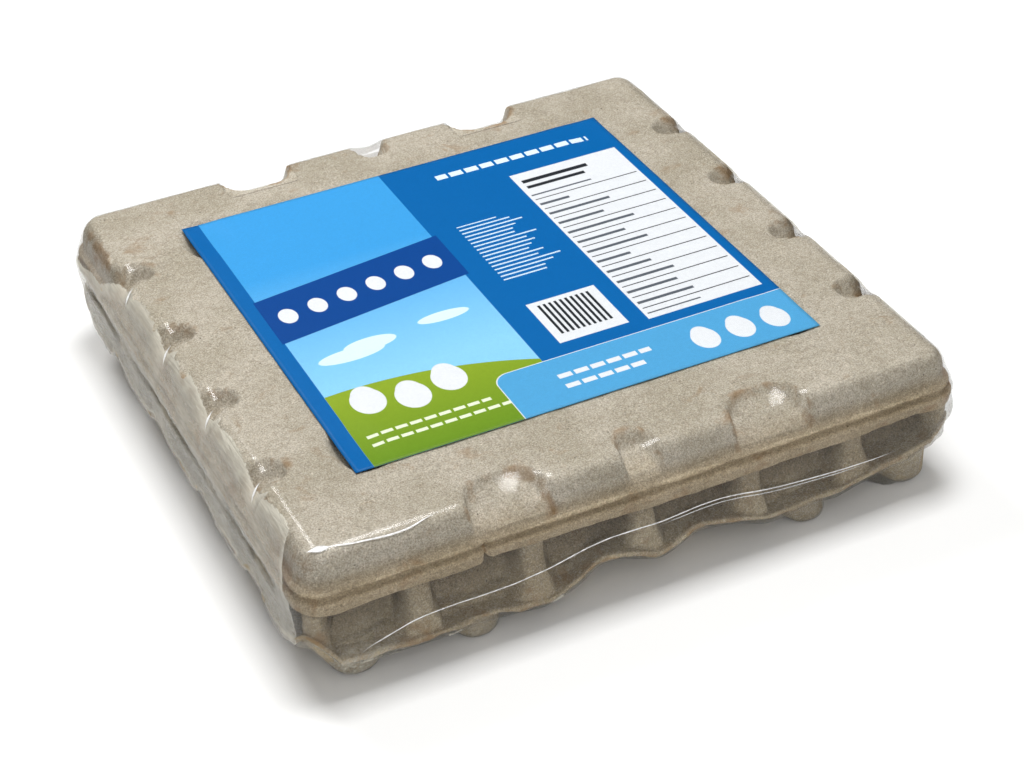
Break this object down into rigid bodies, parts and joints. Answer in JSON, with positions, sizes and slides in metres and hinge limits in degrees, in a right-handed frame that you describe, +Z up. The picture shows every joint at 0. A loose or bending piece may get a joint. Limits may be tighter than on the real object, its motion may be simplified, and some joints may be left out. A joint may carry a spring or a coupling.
{
  "type": "egg carton",
  "caption": "Shut moulded-pulp egg pack: a cell tray under a flat scooped lid, with a paper label on top and clear shrink film around the whole pack.",
  "frame": {"origin": "middle of the footprint, on the plane of the feet's soles", "axes": "+Z up, -Y towards the front, the long side with three scoops over five posts; +X to the right along that side"},
  "size_m": [0.3014, 0.2974, 0.0703],
  "materials": {
    "tray_pulp": "matt grey-beige moulded pulp with fine fibres and dark flecks",
    "lid_pulp": "matt grey-beige moulded pulp, a little lighter than the tray",
    "label_paper": "satin printed paper, mostly blue",
    "clear_film": "clear glossy shrink film with small wrinkles"
  },
  "bodies": {
    "root": {"tray": "tray_pulp", "lid": "lid_pulp", "label": "label_paper", "film": "clear_film"}
  },
  "joints": []
}
